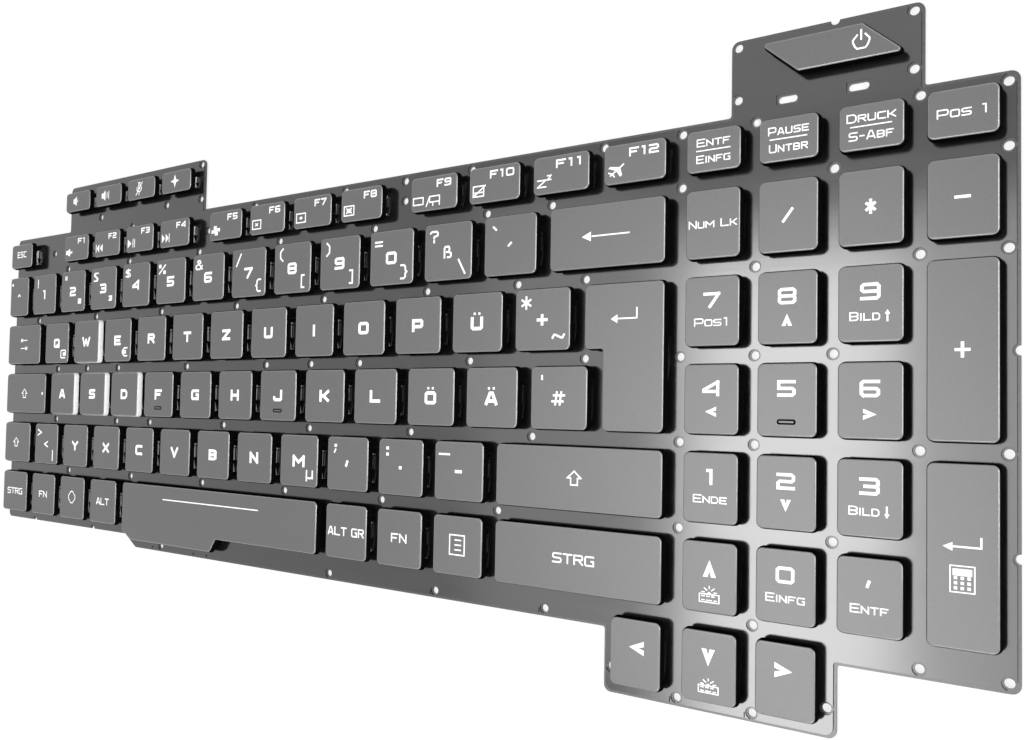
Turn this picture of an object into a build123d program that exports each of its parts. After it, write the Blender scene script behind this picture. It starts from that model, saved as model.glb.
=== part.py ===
# Laptop keyboard unit: a support plate with its switch film and light panel, and low keycaps on
# rubber domes. It lies on its back: +X along the rows, +Y towards the function row, +Z out of the caps.
import os
from math import asin, copysign, cos, degrees, radians, sin, sqrt

from build123d import *

# Key field, measured between the middles of the gaps around the caps
key_pitch = 19.05
row_pitch = 18.5
function_row_depth = 12.8
top_key_depth = 10.8
numpad_pitch = 15.8
numpad_offset = 0.95
tab_width = 26.4
backspace_width = 33.1
enter_width = 23.5
enter_step = 4.76
right_shift_width = 47.4
space_width = 96.2
escape_width = 18.5
function_group_gap = 6.4
top_key_lift = 5.1
cap_gap_x = 4.0
cap_gap_y = 3.9

# Keycaps
cap_height = 1.6
cap_taper = 0.3
cap_corner = 2.2
cap_wall = 0.9
cap_roof = 0.7
key_travel = 1.8
travel_clearance = 0.2
space_tongue_depth = 4.1
space_tongue_width = 48.8
space_tongue_slant = 2.7
power_slant = 7.7
power_width = 20.0
power_place = 32.6

# Layers, from the floor up
panel_thickness = 0.5
plate_thickness = 0.5
film_thickness = 0.3
film_inset = 0.6
panel_inset = 3.5
outline_corner = 1.6

# Plate outline around the key field
right_margin = 0.75
top_margin = 0.85
bottom_margin = 5.25
left_foot_margin = 1.25
left_foot_width = 76.5
left_foot_slant = 6.0
upper_tab_height = 16.25
hot_tab_margin = 0.8
power_tab_left = 11.2
power_tab_right = 49.1
arrow_tab_left = 17.4
arrow_tab_margin = 0.95
arrow_tab_lip = 1.15

# Post holes and light windows
post_hole_radius = 0.9
film_hole_radius = 1.3
edge_hole_inset = 1.85
tab_hole_inset = 1.5
panel_slot_width = 5.0
light_window_length = 4.6
light_window_width = 2.2
light_window_frame = 0.35
light_window_gap = 13.95
light_window_lift = 2.0

# Rubber domes
dome_foot_radius = 2.2
dome_head_radius = 1.5

# Scissor links of the four open-sided keys
link_thickness = 0.6
link_bar = 1.0
outer_link_span = 9.5
outer_link_width = 12.6
inner_link_span = 6.0
link_side_clearance = 0.3
link_lift_clearance = 0.15
roof_clearance = 0.15
hook_metal = 0.2
hook_width = 6.0
hook_clearance = 0.08

# Heights and places that follow from the sizes above
plate_bottom = panel_thickness
film_bottom = plate_bottom + plate_thickness
film_top = film_bottom + film_thickness
skirt_bottom = film_top + key_travel + travel_clearance
cap_top = skirt_bottom + cap_height
roof_bottom = cap_top - cap_roof
low_pivot_z = film_top + link_lift_clearance + link_thickness / 2
high_pivot_z = roof_bottom - roof_clearance - link_thickness / 2
link_rise = high_pivot_z - low_pivot_z
inner_link_width = outer_link_width - 2 * link_bar - 2 * link_side_clearance

field_top = 5 * row_pitch + function_row_depth
numpad_right = numpad_offset + 4 * numpad_pitch
main_width = tab_width + 12 * key_pitch + enter_width
number_start = -backspace_width - 12 * key_pitch
plate_left = -main_width
plate_right = numpad_right + right_margin
plate_top = field_top + top_margin
plate_bottom_edge = -bottom_margin
tab_top = plate_top + upper_tab_height
arrow_tab_bottom = -row_pitch - arrow_tab_lip
arrow_tab_right = numpad_offset + 2 * numpad_pitch + arrow_tab_margin
function_starts = [-4 * key_pitch * (3 - group) - function_group_gap * (2 - group) for group in range(3)]
hot_tab_left = function_starts[0] - hot_tab_margin
hot_tab_right = function_starts[0] + 4 * key_pitch + hot_tab_margin
centre_x = (plate_left + plate_right) / 2
centre_y = (arrow_tab_bottom + tab_top) / 2


def cell(left, right, bottom, top):
    """The four cap corners inside one key's cell, counter-clockwise."""
    x0, x1 = left + cap_gap_x / 2, right - cap_gap_x / 2
    y0, y1 = bottom + cap_gap_y / 2, top - cap_gap_y / 2
    return [(x0, y0), (x1, y0), (x1, y1), (x0, y1)]


def row(names, widths, start, bottom, depth):
    """A row of keys laid side by side, as a dictionary of name to cap corners."""
    keys = {}
    left = start
    for name, width in zip(names, widths):
        keys[name] = cell(left, left + width, bottom, bottom + depth)
        left += width
    return keys


def letters(*names):
    return [f"letter_{name}" for name in names]


def enter_corners():
    """The stepped outline of the enter key, over two rows."""
    upper = cell(-enter_width, 0, 3 * row_pitch, 4 * row_pitch)
    lower = cell(enter_step - enter_width, 0, 2 * row_pitch, 3 * row_pitch)
    return [lower[0], lower[1], upper[2], upper[3], upper[0], (lower[0][0], upper[0][1])]


def space_corners(left):
    """The space bar, with a tongue towards the user along its left half."""
    x0, y0 = cell(left, left + space_width, 0, row_pitch)[0]
    x1, y1 = cell(left, left + space_width, 0, row_pitch)[2]
    low = y0 - space_tongue_depth
    tongue_end = x0 + space_tongue_width
    return [(x0, low + space_tongue_slant), (x0 + 2 * space_tongue_slant, low),
            (tongue_end - space_tongue_slant, low), (tongue_end, y0), (x1, y0), (x1, y1), (x0, y1)]


def power_corners():
    """The power button, a leaning parallelogram in the right-hand tab."""
    bottom = field_top + top_key_lift
    x0, y0 = power_place - power_width / 2, bottom + cap_gap_y / 2
    y1 = bottom + top_key_depth - cap_gap_y / 2
    lean = power_slant / 2
    return [(x0 + lean, y0), (x0 + lean + power_width, y0), (x0 - lean + power_width, y1), (x0 - lean, y1)]


# Every key by name
number_bottom, upper_bottom, home_bottom, lower_bottom = [row_pitch * n for n in (4, 3, 2, 1)]
number_names = ["number_accent"] + [f"number_{n}" for n in range(12)] + ["backspace_key"]
number_keys = row(number_names, [number_start + main_width] + [key_pitch] * 12 + [backspace_width],
                  plate_left, number_bottom, row_pitch)
upper_names = ["tab_key", *letters("q"), "w_key"]
upper_names += letters("e", "r", "t", "z", "u", "i", "o", "p", "ue", "plus")
upper_keys = row(upper_names, [tab_width] + [key_pitch] * 12, plate_left, upper_bottom, row_pitch)
home_names = ["caps_lock_key", "a_key", "s_key", "d_key"]
home_names += letters("f", "g", "h", "j", "k", "l", "oe", "ae", "hash")
home_keys = row(home_names, [tab_width + enter_step] + [key_pitch] * 12, plate_left, home_bottom,
                row_pitch)
lower_names = ["left_shift_key", *letters("angle", "y", "x", "c", "v", "b", "n", "m", "comma", "dot", "dash")]
lower_keys = row(lower_names + ["right_shift_key"],
                 [main_width - 11 * key_pitch - right_shift_width] + [key_pitch] * 11 + [right_shift_width],
                 plate_left, lower_bottom, row_pitch)
left_control_width = main_width - right_shift_width - space_width - 6 * key_pitch
left_names = ["modifier_control", "modifier_function", "modifier_system", "modifier_alt"]
left_keys = row(left_names, [left_control_width] + [key_pitch] * 3, plate_left, 0, row_pitch)
space_left = plate_left + left_control_width + 3 * key_pitch
right_names = ["modifier_alt_right", "modifier_function_right", "modifier_menu", "right_control_key"]
right_keys = row(right_names, [key_pitch] * 3 + [right_shift_width], space_left + space_width, 0, row_pitch)

function_keys = {}
for group, start in enumerate(function_starts):
    names = [f"function_{4 * group + n + 1}" for n in range(4)]
    function_keys |= row(names, [key_pitch] * 4, start, 5 * row_pitch, function_row_depth)
escape_keys = row(["escape_key"], [escape_width], plate_left, 5 * row_pitch, function_row_depth)
hot_names = ["volume_down_key", "volume_up_key", "mic_mute_key", "launch_key"]
hot_keys = row(hot_names, [key_pitch] * 4, function_starts[0], field_top + top_key_lift, top_key_depth)

pad_widths = [numpad_pitch] * 4
pad_keys = row(["delete_key", "pause_key", "print_key", "home_key"], pad_widths, numpad_offset,
               5 * row_pitch, function_row_depth)
pad_keys |= row(["num_lock_key", "divide_key", "multiply_key", "minus_key"], pad_widths, numpad_offset,
                number_bottom, row_pitch)
pad_keys |= row(["pad_7_key", "pad_8_key", "pad_9_key"], pad_widths, numpad_offset, upper_bottom, row_pitch)
pad_keys |= row(["pad_4_key", "pad_5_key", "pad_6_key"], pad_widths, numpad_offset, home_bottom, row_pitch)
pad_keys |= row(["pad_1_key", "pad_2_key", "pad_3_key"], pad_widths, numpad_offset, lower_bottom, row_pitch)
pad_keys |= row(["arrow_up_key", "pad_0_key", "pad_comma_key"], pad_widths, numpad_offset, 0, row_pitch)
pad_keys |= row(["arrow_left_key"], pad_widths, -numpad_pitch, -row_pitch, row_pitch)
pad_keys |= row(["arrow_down_key", "arrow_right_key"], pad_widths, numpad_offset, -row_pitch, row_pitch)
pad_keys |= row(["pad_plus_key"], pad_widths, numpad_right - numpad_pitch, home_bottom, 2 * row_pitch)
pad_keys |= row(["pad_enter_key"], pad_widths, numpad_right - numpad_pitch, 0, 2 * row_pitch)

all_keys = number_keys | upper_keys | home_keys | lower_keys | left_keys | right_keys
all_keys |= function_keys | escape_keys | hot_keys | pad_keys
all_keys["enter_key"] = enter_corners()
all_keys["space_bar"] = space_corners(space_left)
all_keys["power_button"] = power_corners()

group_nodes = {"number_": "number_row_keys", "letter_": "letter_keys", "modifier_": "modifier_keys",
               "function_": "function_keys"}
scissor_keys = ["w_key", "a_key", "s_key", "d_key"]


def grown(corners, grow):
    """The outline moved outwards by a distance, corner by corner."""
    moved = []
    for before, here, after in zip(corners[-1:] + corners[:-1], corners, corners[1:] + corners[:1]):
        a = Vector(here[0] - before[0], here[1] - before[1]).normalized()
        b = Vector(after[0] - here[0], after[1] - here[1]).normalized()
        normal_a, normal_b = Vector(a.Y, -a.X), Vector(b.Y, -b.X)
        shift = (normal_a + normal_b) * (grow / (1 + normal_a.dot(normal_b)))
        moved.append((here[0] + shift.X, here[1] + shift.Y))
    return moved


def eased(corners, radius, facets=2):
    """The outline with each square outer corner turned in one or two facets."""
    points = []
    for before, here, after in zip(corners[-1:] + corners[:-1], corners, corners[1:] + corners[:1]):
        a = Vector(here[0] - before[0], here[1] - before[1]).normalized()
        b = Vector(after[0] - here[0], after[1] - here[1]).normalized()
        corner = Vector(*here)
        if a.X * b.Y - a.Y * b.X < 0.9:
            points.append(here)
            continue
        middle = corner + (b - a) * (radius * (1 - sqrt(0.5)))
        turn = [corner - a * radius, middle, corner + b * radius]
        if facets == 1:
            turn = [corner - a * radius * (2 - sqrt(2)), corner + b * radius * (2 - sqrt(2))]
        points += [(p.X, p.Y) for p in turn]
    return points


def frustum(low, low_z, high, high_z):
    """A flat-sided solid between two like outlines at two heights."""
    low = [Vector(p[0], p[1], low_z) for p in low]
    high = [Vector(p[0], p[1], high_z) for p in high]
    rings = zip(low, low[1:] + low[:1], high[1:] + high[:1], high)
    faces = [Face(Wire.make_polygon(ring)) for ring in [low[::-1], high, *rings]]
    return Solid(Shell(faces))


def cap_block(corners, facets=2):
    """The outside of a keycap: a low block that widens towards its skirt."""
    skirt = eased(grown(corners, cap_taper), cap_corner, facets)
    crown = eased(corners, cap_corner, facets)
    return frustum(skirt, skirt_bottom, crown, cap_top)


def keycap(corners):
    """A keycap with its open underside."""
    inside = grown(corners, cap_taper - cap_wall)
    return cap_block(corners) - frustum(inside, skirt_bottom, inside, roof_bottom)


def dome_place(corners):
    """The middle of the key's own row cell, clear of tongues and steps."""
    xs, ys = [p[0] for p in corners], [p[1] for p in corners]
    return (min(xs) + max(xs)) / 2, (min(ys) + max(ys)) / 2


def dome(corners, head_z):
    """A rubber dome from the film up to the underside of its cap."""
    x, y = dome_place(corners)
    turns = [radians(45 + 90 * n) for n in range(4)]
    foot = [(x + dome_foot_radius * cos(a), y + dome_foot_radius * sin(a)) for a in turns]
    head = [(x + dome_head_radius * cos(a), y + dome_head_radius * sin(a)) for a in turns]
    return frustum(foot, film_top, head, head_z)


def link_frame(span, width, y, z, rise, towards):
    """A rectangular scissor link that rises from its low pivot at y, z towards +Y or -Y."""
    tilt = degrees(asin(rise / span))
    length = span + link_thickness
    body = Box(width, length, link_thickness)
    body -= Box(width - 2 * link_bar, length - 2 * link_bar, link_thickness)
    return Pos(0, y, z) * Rot(X=towards * tilt) * Pos(0, towards * span / 2, 0) * body


def outer_reach():
    return outer_link_span * cos(asin(link_rise / outer_link_span))


def inner_reach():
    return inner_link_span * cos(asin(link_rise / inner_link_span))


def scissor(corners):
    """The outer and inner link of one key."""
    place = Pos(*dome_place(corners), 0)
    outer = link_frame(outer_link_span, outer_link_width, -outer_reach() / 2, low_pivot_z, link_rise, 1)
    inner = link_frame(inner_link_span, inner_link_width, inner_reach() / 2, low_pivot_z, link_rise, -1)
    return place * outer, place * inner


def hook_stations():
    """The foot of each plate hook: its upright's middle in Y and its lip's reach from there."""
    reach = hook_metal / 2 + hook_clearance + link_thickness / 2
    slide = inner_link_span - inner_reach()
    return [(-outer_reach() / 2 - reach, reach), (inner_reach() / 2 + reach + slide, -reach - slide)]


def hooks(corners):
    """The bent-up hooks that hold the low ends of one key's links to the plate."""
    place = Pos(*dome_place(corners), 0)
    lip_bottom = low_pivot_z + link_thickness / 2 + hook_clearance
    made = []
    for y, lip in hook_stations():
        back = -copysign(hook_metal / 2, lip)
        profile = Polyline((back, plate_bottom), (-back, plate_bottom), (-back, lip_bottom),
                           (lip, lip_bottom), (lip, lip_bottom + hook_metal),
                           (back, lip_bottom + hook_metal), close=True)
        bent = extrude(Plane.YZ * make_face(profile), hook_width / 2, both=True)
        made.append(place * Pos(0, y, 0) * bent)
    return made


def hook_slots(corners):
    """The film cut-outs around the hooks."""
    cx, cy = dome_place(corners)
    slot = Rectangle(hook_width + 2 * hook_clearance, hook_metal + 2 * hook_clearance)
    return [Pos(cx, cy + y) * slot for y, lip in hook_stations()]


def plate_corners():
    """The plate's outline: the key field with two tabs above it and one below."""
    foot = plate_left + left_foot_width
    return [(plate_left, -left_foot_margin), (foot, -left_foot_margin),
            (foot + left_foot_slant, plate_bottom_edge), (-arrow_tab_left, plate_bottom_edge),
            (-arrow_tab_left, arrow_tab_bottom),
            (arrow_tab_right, arrow_tab_bottom), (arrow_tab_right, plate_bottom_edge),
            (plate_right, plate_bottom_edge), (plate_right, plate_top), (power_tab_right, plate_top),
            (power_tab_right, tab_top), (power_tab_left, tab_top), (power_tab_left, plate_top),
            (hot_tab_right, plate_top), (hot_tab_right, tab_top), (hot_tab_left, tab_top),
            (hot_tab_left, plate_top), (plate_left, plate_top)]


def stations(start, *steps):
    return [start + step * key_pitch for step in steps]


# Post holes, at the crossings between the keys and along the rims
pad_lines = [numpad_offset + numpad_pitch * n for n in range(4)]
upper_start = plate_left + tab_width
home_start = upper_start + enter_step
lower_start = -11 * key_pitch - right_shift_width
bottom_start = space_left + space_width
seam_x = numpad_offset / 4
rim_x = plate_right - edge_hole_inset
rim_top = plate_top - edge_hole_inset
rim_bottom = plate_bottom_edge + edge_hole_inset
tab_rows = [tab_top - tab_hole_inset, field_top + top_key_lift - tab_hole_inset / 2]
power_tab_columns = [power_tab_left + tab_hole_inset, power_tab_right - edge_hole_inset]

group_gap_y = 5 * row_pitch + function_row_depth / 2
group_gap_posts = [upper_start] + [start - function_group_gap / 2 for start in function_starts[1:]]

home_row_posts = [(x, y) for y in (2 * row_pitch, 3 * row_pitch) for x in stations(home_start, 0, 7)]
power_tab_posts = [(x, y) for y in tab_rows for x in power_tab_columns]
mount_posts = home_row_posts + power_tab_posts

field_lines = [
    (5 * row_pitch, stations(number_start, 1, 3, 5, 7, 9, 11, 12) + [seam_x, pad_lines[2], rim_x]),
    (4 * row_pitch, stations(number_start, 0, 2, 4, 6, 8, 10) + stations(upper_start, 11, 12)),
    (4 * row_pitch, pad_lines[1::2] + [rim_x]),
    (3 * row_pitch, stations(home_start, 1, 2, 4, 6, 8, 10) + stations(upper_start, 12)),
    (3 * row_pitch, [seam_x] + pad_lines[1:3]),
    (2 * row_pitch, stations(home_start, 2, 3, 5, 9, 11) + [seam_x, *pad_lines[1::2], rim_x]),
    (row_pitch, stations(lower_start, 1, 3, 5, 7, 9, 11) + [seam_x, pad_lines[2]]),
    (0, [pad_lines[1]]),
    (group_gap_y, group_gap_posts),
    (rim_top, [function_starts[0] + 2 * key_pitch, function_starts[2] - function_group_gap / 2]),
    (rim_top, stations(function_starts[1], 1, 3) + stations(function_starts[2], 1, 3)),
    (rim_top, [seam_x, pad_lines[1], pad_lines[3], rim_x]),
    (rim_bottom, [space_left + key_pitch, *stations(bottom_start, 0, 2), -1.75 * key_pitch]),
    (rim_bottom, [pad_lines[3], rim_x]),
    (tab_rows[0], [hot_tab_right - edge_hole_inset]),
    (tab_rows[1], [hot_tab_right - edge_hole_inset, *stations(function_starts[0], 1, 3)]),
    (arrow_tab_bottom + edge_hole_inset, [seam_x, pad_lines[1]]),
    (-0.75 * row_pitch, [arrow_tab_right - edge_hole_inset, edge_hole_inset - arrow_tab_left]),
]
field_posts = [(x, y) for y, line in field_lines for x in line]
rim_notches = [(plate_right, 3 * row_pitch), (plate_right, row_pitch), (pad_lines[2], tab_top),
               (plate_left + key_pitch, -left_foot_margin), (plate_left + 3 * key_pitch, -left_foot_margin)]

window_middle = (power_tab_left + power_tab_right) / 2
window_y = plate_top + light_window_lift
light_windows = [(window_middle + side * light_window_gap / 2, window_y) for side in (-1, 1)]


def square_holes(places, radius):
    return [Pos(x, y) * Rectangle(2 * radius, 2 * radius) for x, y in places]


def make_plate():
    face = make_face(Polyline(*eased(plate_corners(), outline_corner), close=True))
    holes = [Pos(x, y) * Circle(post_hole_radius) for x, y in mount_posts]
    holes += square_holes(field_posts + rim_notches, post_hole_radius)
    opening = (light_window_length - 2 * light_window_frame, light_window_width - 2 * light_window_frame)
    holes += [Pos(x, y) * Rectangle(*opening) for x, y in light_windows]
    bent = [hook for name in scissor_keys for hook in hooks(all_keys[name])]
    return Pos(0, 0, plate_bottom) * extrude(face - holes, plate_thickness) + bent


def make_film():
    face = make_face(Polyline(*eased(grown(plate_corners(), -film_inset), outline_corner), close=True))
    holes = square_holes(mount_posts + field_posts + rim_notches, film_hole_radius)
    holes += [Pos(x, y) * Rectangle(light_window_length, light_window_width) for x, y in light_windows]
    holes += [slot for name in scissor_keys for slot in hook_slots(all_keys[name])]
    return Pos(0, 0, film_bottom) * extrude(face - holes, film_thickness)


def slot(x0, x1, y):
    return Pos((x0 + x1) / 2, y) * Rectangle(x1 - x0 + panel_slot_width, panel_slot_width)


def make_panel():
    """The light panel under the plate, cut away along the lines of post holes."""
    face = make_face(Polyline(*grown(plate_corners(), -panel_inset), close=True))
    cuts = [slot(x, x, y) for x, y in light_windows]
    cuts += [slot(x, x, tab_rows[1]) for x in stations(function_starts[0], 1, 3)]
    cuts += [slot(x, x, group_gap_y) for x in group_gap_posts]
    for height in [row_pitch * n for n in range(6)]:
        line = sorted(x for x, y in mount_posts + field_posts if y == height and x < rim_x)
        halves = [[x for x in line if x < -main_width / 2], [x for x in line if x >= -main_width / 2]]
        cuts += [slot(half[0], half[-1], height) for half in halves if half]
    return extrude(face - cuts, panel_thickness)


def save(solid, name):
    export_step(Pos(-centre_x, -centre_y, 0) * solid, f"parts/{name}.step")


os.makedirs("parts", exist_ok=True)
save(make_panel(), "backlight_panel")
save(make_plate(), "support_plate")
save(make_film(), "switch_film")

groups = {node: [] for node in group_nodes.values()}
domes = []
for name, corners in all_keys.items():
    node = next((group for prefix, group in group_nodes.items() if name.startswith(prefix)), None)
    if node:
        groups[node].append(cap_block(corners, facets=1) + dome(corners, skirt_bottom))
    else:
        save(keycap(corners), name)
        domes.append(dome(corners, roof_bottom))
for node, solids in groups.items():
    save(Compound(children=solids), node)
save(Compound(children=domes), "rubber_domes")
for name in scissor_keys:
    outer, inner = scissor(all_keys[name])
    save(outer, name.replace("key", "outer_link"))
    save(inner, name.replace("key", "inner_link"))
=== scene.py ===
from math import atan2, cos, hypot, pi, sin, sqrt, tan

import bpy
from mathutils import Matrix, Vector


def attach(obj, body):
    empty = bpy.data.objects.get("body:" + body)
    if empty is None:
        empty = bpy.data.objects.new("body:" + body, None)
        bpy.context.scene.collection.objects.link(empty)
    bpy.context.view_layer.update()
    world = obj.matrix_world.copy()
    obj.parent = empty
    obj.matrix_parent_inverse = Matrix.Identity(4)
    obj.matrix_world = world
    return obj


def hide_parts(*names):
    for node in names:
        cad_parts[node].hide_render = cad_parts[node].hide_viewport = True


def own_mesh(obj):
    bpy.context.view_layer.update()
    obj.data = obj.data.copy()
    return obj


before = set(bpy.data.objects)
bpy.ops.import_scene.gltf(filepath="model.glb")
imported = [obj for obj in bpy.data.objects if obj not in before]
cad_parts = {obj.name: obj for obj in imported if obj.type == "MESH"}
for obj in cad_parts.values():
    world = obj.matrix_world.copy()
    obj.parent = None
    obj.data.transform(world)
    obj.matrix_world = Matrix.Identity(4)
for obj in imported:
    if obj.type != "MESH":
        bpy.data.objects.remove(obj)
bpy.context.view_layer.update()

# Layout of the key field in millimetres, as in the part's source
key_pitch = 19.05
row_pitch = 18.5
function_row_depth = 12.8
top_key_depth = 10.8
numpad_pitch = 15.8
numpad_offset = 0.95
tab_width = 26.4
backspace_width = 33.1
enter_width = 23.5
enter_step = 4.76
right_shift_width = 47.4
space_width = 96.2
escape_width = 18.5
function_group_gap = 6.4
top_key_lift = 5.1
cap_gap_x = 4.0
cap_gap_y = 3.9
space_tongue_depth = 4.1
space_tongue_width = 48.8
space_tongue_slant = 2.7
power_slant = 7.7
power_width = 20.0
power_place = 32.6

# Plate outline
right_margin = 0.75
top_margin = 0.85
bottom_margin = 5.25
left_foot_margin = 1.25
left_foot_width = 76.5
left_foot_slant = 6.0
upper_tab_height = 16.25
hot_tab_margin = 0.8
power_tab_left = 11.2
power_tab_right = 49.1
arrow_tab_left = 17.4
arrow_tab_margin = 0.95
arrow_tab_lip = 1.15
outline_corner = 1.6
inner_corner = 0.6
film_inset = 0.6
panel_inset = 3.5
panel_corner = 1.0
plate_steps = 5
panel_steps = 4

# Post holes and light windows
post_hole_radius = 0.9
film_hole_radius = 1.3
edge_hole_inset = 1.85
tab_hole_inset = 1.5
panel_slot_width = 5.0
window_length = 4.6
window_width = 2.2
window_frame = 0.35
window_corner = 0.3
window_steps = 3
window_end_gap = 0.01
window_gap = 13.95
window_lift = 2.0
slit_offset = 1.5
slit_size = (0.25, 1.6)
film_notch_size = (1.2, 1.6)
film_notch_steps = (14.85, 36.3, 42.9)
cutter_reach = 1

# Heights above the floor
panel_top = 0.5
plate_top_z = 1.0
film_top = 1.3
skirt_bottom = 3.15
roof_bottom = 4.2
cap_face = 4.88
cap_top = 4.9

# Keycap form
cap_corner = 1.2
power_corner = 0.5
step_corner = 0.7
corner_steps = 6
least_cap_corner = 0.15
least_step_corner = 0.2
skirt_profile = [(0.30, skirt_bottom), (0.25, 3.8), (0.13, 4.3), (0.05, 4.62)]
rim_profile = [(0.0, 4.7), (-0.06, 4.785), (-0.14, 4.85), (-0.26, cap_face)]
inside_profile = [(0.30, skirt_bottom), (-0.45, skirt_bottom), (-0.6, 4.05), (-0.75, roof_bottom)]

# Scissor links and domes
link_thickness = 0.6
link_bar = 1.0
link_gap = 0.3
link_edge_ease = 0.2
link_margin_x = 1.7
link_margin_y = 2.6
outer_span = 9.5
inner_span = 6.0
outer_width = 12.6
wide_link = 13.15
hook_metal = 0.2
hook_width = 6.0
hook_clearance = 0.08
hook_root = 0.2
low_pivot_z = 1.75
high_pivot_z = 3.75
pin_radius = 0.3
web_width = 0.4
web_length_share = 0.38
web_shift_share = 0.05
web_bottom = 1.5
dome_profile = [(2.5, 1.3), (2.5, 1.45), (2.1, 1.55), (1.55, 3.3), (1.4, 3.45), (1.4, 4.12), (1.2, 4.2)]

# Places that follow from the sizes
main_width = tab_width + 12 * key_pitch + enter_width
field_top = 5 * row_pitch + function_row_depth
numpad_right = numpad_offset + 4 * numpad_pitch
number_start = -backspace_width - 12 * key_pitch
plate_left = -main_width
plate_right = numpad_right + right_margin
plate_top = field_top + top_margin
plate_bottom = -bottom_margin
tab_top = plate_top + upper_tab_height
arrow_tab_bottom = -row_pitch - arrow_tab_lip
arrow_tab_right = numpad_offset + 2 * numpad_pitch + arrow_tab_margin
function_starts = [-4 * key_pitch * (3 - group) - function_group_gap * (2 - group) for group in range(3)]
hot_tab_left = function_starts[0] - hot_tab_margin
hot_tab_right = function_starts[0] + 4 * key_pitch + hot_tab_margin
centre_x = (plate_left + plate_right) / 2
centre_y = (arrow_tab_bottom + tab_top) / 2


def place(x, y, z):
    """A layout point in millimetres as a point of the row frame in metres."""
    return ((x - centre_x) / 1000, (y - centre_y) / 1000, z / 1000)


# Every key's cap outline by name
keys = {}


def cell(left, right, bottom, top):
    x0, x1 = left + cap_gap_x / 2, right - cap_gap_x / 2
    y0, y1 = bottom + cap_gap_y / 2, top - cap_gap_y / 2
    return [(x0, y0), (x1, y0), (x1, y1), (x0, y1)]


def lay_row(names, widths, left, bottom, depth):
    for name, width in zip(names.split(), widths):
        keys[name] = cell(left, left + width, bottom, bottom + depth)
        left += width


def lay_main_field():
    units = [key_pitch] * 12
    lay_row("number_accent number_1 number_2 number_3 number_4 number_5 number_6 number_7 number_8 number_9 "
            "number_0 number_sharp_s number_acute backspace_key",
            [main_width + number_start] + units + [backspace_width], plate_left, 4 * row_pitch, row_pitch)
    lay_row("tab_key letter_q w_key letter_e letter_r letter_t letter_z letter_u letter_i letter_o letter_p "
            "letter_ue letter_plus", [tab_width] + units, plate_left, 3 * row_pitch, row_pitch)
    lay_row("caps_lock_key a_key s_key d_key letter_f letter_g letter_h letter_j letter_k letter_l letter_oe "
            "letter_ae letter_hash", [tab_width + enter_step] + units, plate_left, 2 * row_pitch, row_pitch)
    left_shift_width = main_width - 11 * key_pitch - right_shift_width
    lay_row("left_shift_key letter_angle letter_y letter_x letter_c letter_v letter_b letter_n letter_m "
            "letter_comma letter_dot letter_dash right_shift_key",
            [left_shift_width] + units[1:] + [right_shift_width], plate_left, row_pitch, row_pitch)
    control_width = main_width - right_shift_width - space_width - 6 * key_pitch
    lay_row("modifier_control modifier_function modifier_system modifier_alt space_bar modifier_alt_right "
            "modifier_function_right modifier_menu right_control_key",
            [control_width] + units[:3] + [space_width] + units[:3] + [right_shift_width],
            plate_left, 0, row_pitch)
    lay_row("escape_key", [escape_width], plate_left, 5 * row_pitch, function_row_depth)
    for group, start in enumerate(function_starts):
        names = " ".join(f"function_{4 * group + n}" for n in (1, 2, 3, 4))
        lay_row(names, units, start, 5 * row_pitch, function_row_depth)
    lay_row("volume_down_key volume_up_key mic_mute_key launch_key", units, function_starts[0],
            field_top + top_key_lift, top_key_depth)


def lay_number_pad():
    units = [numpad_pitch] * 4
    lay_row("delete_key pause_key print_key home_key", units, numpad_offset,
            5 * row_pitch, function_row_depth)
    lines = ["arrow_up_key pad_0_key pad_comma_key", "pad_1_key pad_2_key pad_3_key",
             "pad_4_key pad_5_key pad_6_key", "pad_7_key pad_8_key pad_9_key",
             "num_lock_key divide_key multiply_key minus_key"]
    for n, names in enumerate(lines):
        lay_row(names, units, numpad_offset, n * row_pitch, row_pitch)
    lay_row("arrow_left_key", units, -numpad_pitch, -row_pitch, row_pitch)
    lay_row("arrow_down_key arrow_right_key", units, numpad_offset, -row_pitch, row_pitch)
    lay_row("pad_plus_key", units, numpad_right - numpad_pitch, 2 * row_pitch, 2 * row_pitch)
    lay_row("pad_enter_key", units, numpad_right - numpad_pitch, 0, 2 * row_pitch)


def lay_shaped_keys():
    upper = cell(-enter_width, 0, 3 * row_pitch, 4 * row_pitch)
    lower = cell(enter_step - enter_width, 0, 2 * row_pitch, 3 * row_pitch)
    keys["enter_key"] = [lower[0], lower[1], upper[2], upper[3], upper[0], (lower[0][0], upper[0][1])]
    (x0, y0), (x1, y1) = keys["space_bar"][0], keys["space_bar"][2]
    low, end = y0 - space_tongue_depth, x0 + space_tongue_width
    keys["space_bar"] = [(x0, low + space_tongue_slant), (x0 + 2 * space_tongue_slant, low),
                         (end - space_tongue_slant, low), (end, y0), (x1, y0), (x1, y1), (x0, y1)]
    y0 = field_top + top_key_lift + cap_gap_y / 2
    y1 = y0 + top_key_depth - cap_gap_y
    x0, x1 = power_place - power_width / 2, power_place + power_width / 2
    lean = power_slant / 2
    keys["power_button"] = [(x0 + lean, y0), (x1 + lean, y0), (x1 - lean, y1), (x0 - lean, y1)]


lay_main_field()
lay_number_pad()
lay_shaped_keys()
group_nodes = {"number_": "number_row_keys", "letter_": "letter_keys", "modifier_": "modifier_keys",
               "function_": "function_keys"}
open_keys = ["w_key", "a_key", "s_key", "d_key"]


def group_of(name):
    """The node that holds this fixed key, or None for a key that moves."""
    return next((node for prefix, node in group_nodes.items() if name.startswith(prefix)), None)


def middle(corners):
    xs, ys = [p[0] for p in corners], [p[1] for p in corners]
    return (min(xs) + max(xs)) / 2, (min(ys) + max(ys)) / 2


# Flat outlines
def unit(dx, dy):
    length = hypot(dx, dy)
    return dx / length, dy / length


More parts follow.
